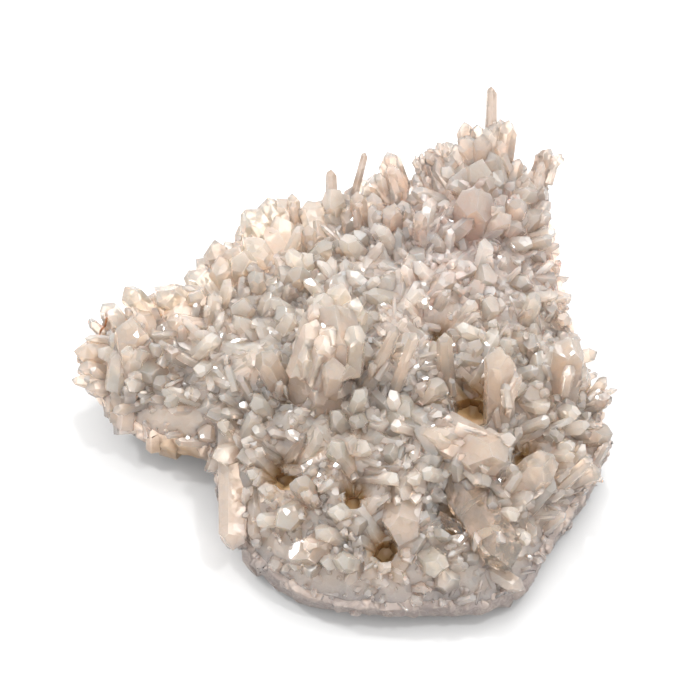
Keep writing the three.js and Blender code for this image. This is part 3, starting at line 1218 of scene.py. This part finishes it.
def stain_group():
    """Takes how strongly the depths are stained and shaded, and puts out the two masks."""
    mask = "NodeSocketFloat"
    group, given, result = shader_group(
        "iron stain", [("Deep Stain And Shade", mask, 0.6)], [("Ochre", mask), ("Rust", mask)]
    )
    place = add(group, "TexCoord").outputs["Object"]
    patchy = noise_at(group, place, 2.2, 4)
    bend = calc(group, "MULTIPLY_ADD", patchy, 5 * MM, -2.5 * MM)

    def near(spot, inner, outer):
        away = calc(group, "ADD", distance_from(group, place, spot), bend)
        return falling(group, away, inner * MM, outer * MM)

    # Under the left arm the ochre is partly iron stain and partly painted shade.
    ochre = calc(group, "MULTIPLY", near(ARM_UNDERSIDE_STAIN_AND_SHADE, 3, 13), calc(group, "MULTIPLY", patchy, 1.3))
    for x, y, radius, _ in HOLLOWS.values():
        ochre = calc(group, "MAXIMUM", ochre, near(ground(x, y)[0], 0.9 * radius, 3.0 * radius))
    # The depth mark paints ochre into the depths: partly iron stain, partly painted shade.
    deep = add(group, "Attribute", attribute_name="deep").outputs["Fac"]
    deep = calc(group, "MULTIPLY", deep, calc(group, "MULTIPLY", patchy, given["Deep Stain And Shade"]))
    group.links.new(calc(group, "MAXIMUM", ochre, deep), result["Ochre"])
    group.links.new(near(RUST_SPOT, 0.4, 3.2), result["Rust"])
    return group


stain = stain_group()

# %% [markdown]
# ## Cloudiness and growth marks
#
# Milk in quartz lies in clouds and wisps. Growth leaves three marks on the faces: fine lines
# round the prism, square to its length, low hillocks, and steps, where a patch of a face is
# tilted a little against the next and so catches the light apart from it. The steps are cells
# with a slope each. The groups put out plain masks and heights.

# %% Groups: clouds and growth marks
STEP = 2.2


def cloud_group():
    """Puts out the clouds, which are broad, and the wisps, which are fine."""
    mask = "NodeSocketFloat"
    group, _, result = shader_group("clouds of milk", [], [("Cloud", mask), ("Wisps", mask)])
    place = add(group, "TexCoord").outputs["Object"]
    group.links.new(noise_at(group, place, 4.5, 5), result["Cloud"])
    inputs = {"Vector": place, "Scale": 1 / (3.2 * MM), "Detail": 6.0, "Distortion": 1.2}
    fine = add(group, "TexNoise", inputs).outputs[0]
    from_middle = calc(group, "ABSOLUTE", calc(group, "SUBTRACT", fine, 0.5))
    group.links.new(falling(group, from_middle, 0.0, 0.05), result["Wisps"])
    return group


def growth_group():
    """Takes how far along its crystal a place is and puts out the height of the marks."""
    number = "NodeSocketFloat"
    inputs = [("Along", number, 0.0), ("Lines", number, 0.5), ("Steps", number, 6.0)]
    group, given, result = shader_group("growth marks", inputs, [("Height", number)])
    place = add(group, "TexCoord").outputs["Object"]
    inputs = {"W": given["Along"], "Scale": 1.4, "Detail": 4.0}
    lines = add(group, "TexNoise", inputs, noise_dimensions="1D")
    hillocks = calc(group, "MULTIPLY", noise_at(group, place, 1.6, 2), 0.5)
    height = calc(group, "MULTIPLY_ADD", lines.outputs[0], given["Lines"], hillocks)

    cell = add(group, "TexVoronoi", {"Vector": place, "Scale": 1 / (STEP * MM)}).outputs
    from_seed = vector_step(group, "SUBTRACT", place, cell["Position"])[0]
    tilt = vector_step(group, "SUBTRACT", cell["Color"], (0.5, 0.5, 0.5))[0]
    slope = vector_step(group, "DOT_PRODUCT", from_seed, tilt)["Value"]
    steps = calc(group, "MULTIPLY", slope, calc(group, "DIVIDE", given["Steps"], MM))
    group.links.new(calc(group, "ADD", height, steps), result["Height"])
    return group


clouds, growth = cloud_group(), growth_group()

# %% [markdown]
# ## The quartz finishes
#
# Milky quartz lets light in, scatters it on bubbles and lets some of it through, so it is part
# glass and part scattering. Clear quartz is all glass, with the refractive index of quartz. The
# glass values are set plainly on the shader. Only the colour, the roughness and the bump change
# over the surface, and they come from the groups.

# %% Colours, and the way along a crystal
# The lilac is darker than the beige: partly a cool tint, partly painted shade low on the rim.
BEIGE, PINK, SHADED_LILAC = (0.99, 0.79, 0.645), (0.99, 0.745, 0.64), (0.70, 0.58, 0.55)
# The plate's lilac and milk are darker still: mostly painted shade on its sides, over a lilac tint.
PLATE_SHADED_LILAC, PLATE_SHADED_MILK = (0.20, 0.16, 0.15), (0.48, 0.41, 0.37)
MILK = (0.99, 0.86, 0.755)
OCHRE, RUST = (0.45, 0.28, 0.13), (0.55, 0.19, 0.03)


def along_map(tree):
    """How far along its crystal a place is, from the growth map."""
    spot = add(tree, "UVMap", uv_map="growth").outputs[0]
    return calc(tree, "MULTIPLY", add(tree, "SeparateXYZ", {0: spot}).outputs["Y"], 3.0)


def along_axis(tree):
    """How far along a large point a place is, in millimetres, from the object's own axis."""
    settings = {"attribute_type": "OBJECT", "attribute_name": "growth_axis"}
    axis = add(tree, "Attribute", **settings).outputs["Vector"]
    place = add(tree, "TexCoord").outputs["Object"]
    return calc(tree, "DIVIDE", vector_step(tree, "DOT_PRODUCT", place, axis)["Value"], MM)


# %% [markdown]
# In the large points a thin absorption inside warms what the light passes through. The small
# ones are too thin for it to show, and without it they take far less time to render.

# %% One function for every quartz finish
QUARTZ_IOR = 1.544
WARM = (0.86, 0.72, 0.6, 1)


def fresh_material(name):
    """A material, its node tree and its shader."""
    material = bpy.data.materials.new(name)
    material.use_nodes = True
    return material, material.node_tree, material.node_tree.nodes["Principled BSDF"]


def quartz(
    name, clearness, roughness, along, milk_depth=9.0, deep_stain_and_shade=0.22, density=5.0, shade=1.0,
    low=SHADED_LILAC, milk_tint=MILK,
):
    """A quartz finish, from quite milky, clearness 0, to water clear, clearness 1."""
    material, tree, shader = fresh_material(name)
    shader.inputs["IOR"].default_value = QUARTZ_IOR
    shader.inputs["Transmission Weight"].default_value = clearness
    shader.inputs["Subsurface Weight"].default_value = 1.0
    shader.inputs["Subsurface Radius"].default_value = (1.0, 0.9, 0.8)
    shader.inputs["Subsurface Scale"].default_value = milk_depth * MM

    tint = add(tree, "Group", node_tree=zones)
    # The low colour is partly painted shade on the lower rim.
    for title, colour in (("Beige", BEIGE), ("Pink", PINK), ("Shaded Lilac", low)):
        tint.inputs[title].default_value = (*(shade * part for part in colour), 1)
    milk = add(tree, "Group", node_tree=clouds).outputs
    iron = add(tree, "Group", {"Deep Stain And Shade": deep_stain_and_shade}, node_tree=stain).outputs
    character = add(tree, "Attribute", attribute_name="character").outputs["Fac"]
    pale = calc(tree, "MULTIPLY", calc(tree, "ADD", milk["Cloud"], milk["Wisps"]), 0.45)
    milk_colour = [shade * part for part in milk_tint]
    colour = mixed(tree, calc(tree, "MULTIPLY", character, 0.35), tint.outputs["Color"], milk_colour)
    colour = mixed(tree, pale, colour, milk_colour)
    # Ochre round the hollows is iron stain; under the left arm and in the depths it is partly painted
    # shade.
    colour = mixed(tree, iron["Ochre"], colour, OCHRE)
    colour = mixed(tree, iron["Rust"], colour, RUST)
    tree.links.new(colour, shader.inputs["Base Color"])
    dull = calc(tree, "MULTIPLY_ADD", milk["Cloud"], 0.12, roughness - 0.04)
    tree.links.new(dull, shader.inputs["Roughness"])

    marks = add(tree, "Group", {"Along": along(tree)}, node_tree=growth)
    inputs = {"Height": marks.outputs["Height"], "Strength": 0.35, "Distance": 0.12 * MM}
    bump = add(tree, "Bump", inputs)
    tree.links.new(bump.outputs[0], shader.inputs["Normal"])
    if density > 0:
        inside = add(tree, "VolumeAbsorption", {"Color": WARM, "Density": density})
        tree.links.new(inside.outputs[0], tree.nodes["Material Output"].inputs["Volume"])
    return material


druse_milky = quartz("druse_milky", 0.76, 0.11, along_map, density=0.0)
druse_cloudy = quartz("druse_cloudy", 0.82, 0.09, along_map, density=0.0)
milky_point = quartz("milky_point", 0.81, 0.10, along_axis, shade=0.82)
cloudy_point = quartz("cloudy_point", 0.85, 0.08, along_axis, shade=0.9)
clear_point = quartz("clear_point", 0.95, 0.04, along_axis, density=4.0)
# The thin tips' colour is halved (shade 0.5): painted shade for the dark surroundings they would
# refract.
frosted_shaded_tip = quartz("frosted_shaded_tip", 0.7, 0.1, along_axis, milk_depth=1.5, density=12.0, shade=0.5)

# %% [markdown]
# The plate is massive quartz: hardly any light goes through it, it has no growth lines, and its
# broken skin is duller. It takes the same function, with the height above the floor in place of
# the length along a crystal.

# %% The plate and the veils
def along_height(tree):
    """The height of a place, in millimetres, for the faint layers in the plate."""
    place = add(tree, "TexCoord").outputs["Object"]
    return calc(tree, "DIVIDE", add(tree, "SeparateXYZ", {0: place}).outputs["Z"], MM)


# The plate's colours are darkened, shade 0.85 with dark lilac and milk: painted shade on its sides and
# low rim.
plate_quartz = quartz(
    "plate_quartz", 0.3, 0.42, along_height, milk_depth=2.0,
    density=0.0, shade=0.85, low=PLATE_SHADED_LILAC, milk_tint=PLATE_SHADED_MILK,
)
veil_milk = quartz("veil_milk", 0.6, 0.30, along_height, milk_depth=0.5, deep_stain_and_shade=0.0, density=0.0)

# %% [markdown]
# Each large point takes the finish that suits it. The thin ones that stand out against the sky
# are frosted and less clear, and their colour is darkened as painted shade, in place of the dark
# surroundings that a thin clear tip would refract; without it they would vanish before the white
# surroundings. The thread is dried rust, which isn't quartz at all: dull, opaque and blotched.

# %% Put each finish on its pieces
CLEAR_POINTS = ("clear_point", "low_spur", "side_spur")
FROSTED_TIPS = ("peak_point", "slanted_needle", "splinter", "upright_spire", "ridge_spur", "right_horn")
CLOUDY_POINTS = (
    "arm_needles", "white_wedge", "columns", "pale_prism", "cavity_ring_left", "cavity_ring_right",
    "broad_point", "short_blade", "long_blade", "rim_blade",
)


def dressed(thing, *materials):
    """Gives an object these materials and no others."""
    thing.data.materials.clear()
    for material in materials:
        thing.data.materials.append(material)


for name in large_points:
    material = clear_point if name in CLEAR_POINTS else milky_point
    if name in CLOUDY_POINTS:
        material = cloudy_point
    if name in FROSTED_TIPS:
        material = frosted_shaded_tip
    dressed(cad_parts[name], material)
dressed(druse, druse_milky)
dressed(company_blocks, druse_cloudy)
dressed(plate, plate_quartz)
dressed(sealed_veils, veil_milk)

DARK_RUST, BRIGHT_RUST = (0.03, 0.008, 0.002), (0.26, 0.08, 0.01)
rust, tree, shader = fresh_material("dried_rust")
blotches = noise_at(tree, add(tree, "TexCoord").outputs["Object"], 0.7)
tree.links.new(mixed(tree, blotches, DARK_RUST, BRIGHT_RUST), shader.inputs["Base Color"])
shader.inputs["Roughness"].default_value = 0.55
dressed(rust_thread, rust)

# %% [markdown]
# ## Floor and light
#
# A plain pale floor and an even white surrounding show the translucent quartz best: light comes
# from all sides and through the crystals.

# %% Lay the floor
FLOOR = 3

floor_mesh = bpy.data.meshes.new("floor")
corners = [(-FLOOR, -FLOOR, 0), (FLOOR, -FLOOR, 0), (FLOOR, FLOOR, 0), (-FLOOR, FLOOR, 0)]
floor_mesh.from_pydata(corners, [], [(0, 1, 2, 3)])
floor = shown(floor_mesh, "floor")
floor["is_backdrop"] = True
paper, _, shader = fresh_material("paper")
shader.inputs["Base Color"].default_value = (0.45, 0.45, 0.45, 1)
shader.inputs["Roughness"].default_value = 0.9
dressed(floor, paper)

# %% [markdown]
# One broad lamp gives the light a direction, and three small ones make the glints on the faces.
# Light is followed through seven bounces, enough for three crystals on end. More take longer.

# %% Light the scene
LIGHT_BOUNCES = 7
SKY_STRENGTH = 2.18

world = bpy.data.worlds.new("surroundings")
world.use_nodes = True
world.node_tree.nodes["Background"].inputs["Color"].default_value = (1, 1, 1, 1)
world.node_tree.nodes["Background"].inputs["Strength"].default_value = SKY_STRENGTH
bpy.context.scene.world = world
bpy.context.scene.view_settings.view_transform = "Standard"
bpy.context.scene.cycles.max_bounces = LIGHT_BOUNCES
bpy.context.scene.cycles.transmission_bounces = LIGHT_BOUNCES


def lamp(name, place, size, energy):
    """A square lamp that faces the specimen."""
    data = bpy.data.lights.new(name, "AREA")
    data.size, data.energy = size, energy
    thing = shown(data, name)
    thing.location = place
    thing.rotation_euler = (AIM - Vector(place)).to_track_quat("-Z", "Y").to_euler()


lamp("key", (0.20, 0.20, 0.8), 0.4, 3)
lamp("front glint", (0.25, -0.25, 0.8), 0.06, 2.2)
lamp("left glint", (-0.45, 0.05, 0.6), 0.06, 2.2)
lamp("back glint", (0.10, 0.45, 0.65), 0.06, 2.2)

# %% [markdown]
# ## Size and finish
#
# The last cell prints how far the finished model goes past the solids at its low corner.

# %% Print how far the model goes past the solids
low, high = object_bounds()
grown = [round(1000 * (c - v), 2) for c, v in zip(cad_low, low)]
print("past the solids at its low corner the finished model goes", grown, "mm")
